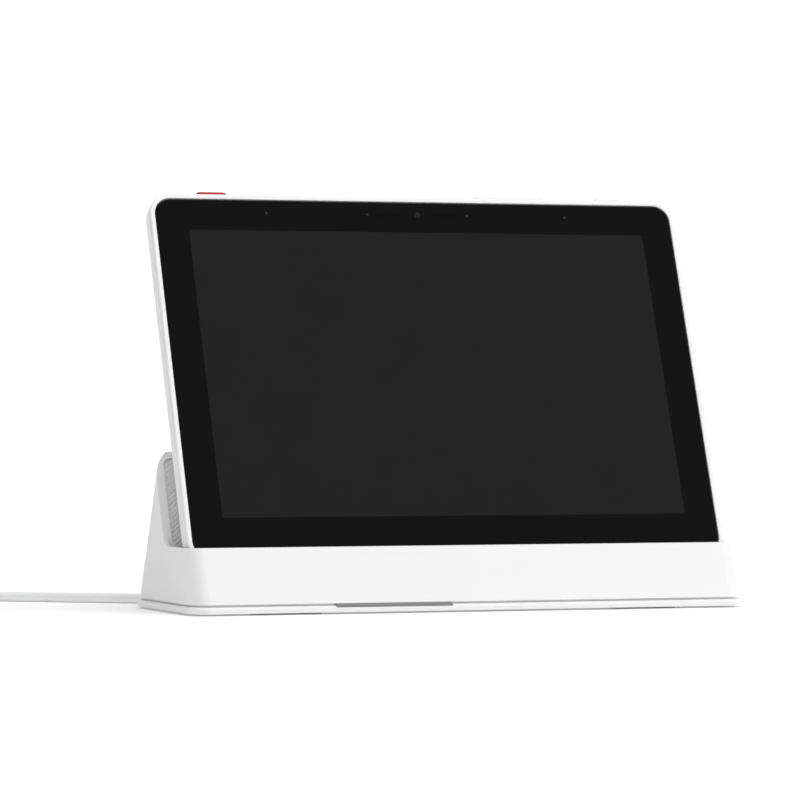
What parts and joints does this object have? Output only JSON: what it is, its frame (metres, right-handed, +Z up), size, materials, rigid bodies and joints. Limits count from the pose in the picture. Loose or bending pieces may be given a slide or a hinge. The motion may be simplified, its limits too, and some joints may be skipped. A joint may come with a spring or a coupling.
{
  "type": "smart home hub",
  "caption": "Tablet-like home control screen leaning in a wedge-shaped charging dock, with an alarm button, a volume rocker and a power button on its top edge, and a cable with a USB-C plug.",
  "frame": {"origin": "on the ground under the middle of the dock's base plate", "axes": "+X to the right seen from the front, +Y to the back, +Z up"},
  "size_m": [0.2966, 0.1554, 0.1466],
  "materials": {
    "dock_plastic": "satin moulded plastic",
    "pad_rubber": "fine slanted ribs",
    "liner_rubber": "matt",
    "dark_plastic": "matt",
    "light_diffuser": "satin",
    "gold_contact": "polished",
    "spring_steel": "satin",
    "flex_circuit": "smooth film",
    "circuit_board": "solder mask",
    "weight_steel": "plated",
    "foot_rubber": "matt",
    "frame_plastic": "satin moulded plastic",
    "cover_glass": "black printed glass, glossy",
    "adhesive": "foam tape",
    "display_panel": "dark, switched off",
    "tray_metal": "pressed sheet",
    "chassis_metal": "blasted",
    "camera_black": "glossy",
    "camera_glass": "coated lens",
    "battery_wrap": "foil wrap",
    "mesh_cloth": "fine mesh",
    "alarm_red": "glossy",
    "button_plastic": "satin",
    "cord_jacket": "satin jacket",
    "tie_band": "matt strap"
  },
  "bodies": {
    "dock": {"dock_shell": "dock_plastic", "base_plate": "dock_plastic", "backrest_pad": "pad_rubber", "cradle_liner": "liner_rubber", "contact_block": "dark_plastic", "contact_barrels": "gold_contact", "pin_springs": "spring_steel", "contact_flex": "flex_circuit", "dock_board": "circuit_board", "board_screws": "spring_steel", "usb_socket": "spring_steel", "light_window": "light_diffuser", "light_board": "circuit_board", "ballast_plates": "weight_steel", "dock_magnets": "weight_steel", "feet": "foot_rubber", "base_screws": "spring_steel", "plug_shell": "spring_steel", "plug_grip": "cord_jacket", "strain_relief": "cord_jacket", "cord": "cord_jacket", "cord_coil": "cord_jacket", "cord_tail": "cord_jacket", "cord_tie": "tie_band", "far_plug_grip": "cord_jacket", "far_plug_shell": "spring_steel"},
    "hub": {"pad_holder": "dark_plastic", "speaker_boxes": "dark_plastic", "charging_pads": "gold_contact", "chassis_screws": "spring_steel", "cover_screws": "spring_steel", "panel_flex": "flex_circuit", "antennas": "flex_circuit", "mic_boards": "circuit_board", "main_board": "circuit_board", "radio_board": "circuit_board", "button_boards": "circuit_board", "hub_magnets": "weight_steel", "speaker_drivers": "weight_steel", "front_frame": "frame_plastic", "rear_cover": "frame_plastic", "screw_caps": "frame_plastic", "cover_glass": "cover_glass", "glass_adhesive": "adhesive", "screen_panel": "display_panel", "screen_tray": "tray_metal", "board_shields": "tray_metal", "microphones": "tray_metal", "button_switches": "tray_metal", "chassis_plate": "chassis_metal", "camera_module": "camera_black", "sensor_windows": "camera_black", "camera_lens": "camera_glass", "battery": "battery_wrap", "speaker_meshes": "mesh_cloth"},
    "contact_pins": {"contact_pins": "gold_contact"},
    "alarm_button": {"alarm_button": "alarm_red"},
    "volume_rocker": {"volume_rocker": "button_plastic"},
    "power_button": {"power_button": "button_plastic"}
  },
  "joints": [
    {"name": "hub_lift", "type": "slide", "parent": "dock", "child": "hub", "axis": [0, 0.3649, 0.9311], "range_m": [0, 0.08]},
    {"name": "pins_press", "type": "slide", "parent": "dock", "child": "contact_pins", "axis": [0, -0.3649, -0.9311], "range_m": [0, 0.0006], "stiffness_N_per_m": 1500, "deforming": ["pin_springs"]},
    {"name": "alarm_press", "type": "slide", "parent": "hub", "child": "alarm_button", "axis": [0, -0.3649, -0.9311], "range_m": [0, 0.0008], "stiffness_N_per_m": 2500},
    {"name": "power_press", "type": "slide", "parent": "hub", "child": "power_button", "axis": [0, -0.3649, -0.9311], "range_m": [0, 0.0008], "stiffness_N_per_m": 2500},
    {"name": "volume_rock", "type": "hinge", "parent": "hub", "child": "volume_rocker", "pos_m": [0.0374, 0.02832, 0.14383], "axis": [0, -0.9311, 0.3649], "range_deg": [-1.2, 1.2], "stiffness_Nm_per_rad": 0.3}
  ]
}
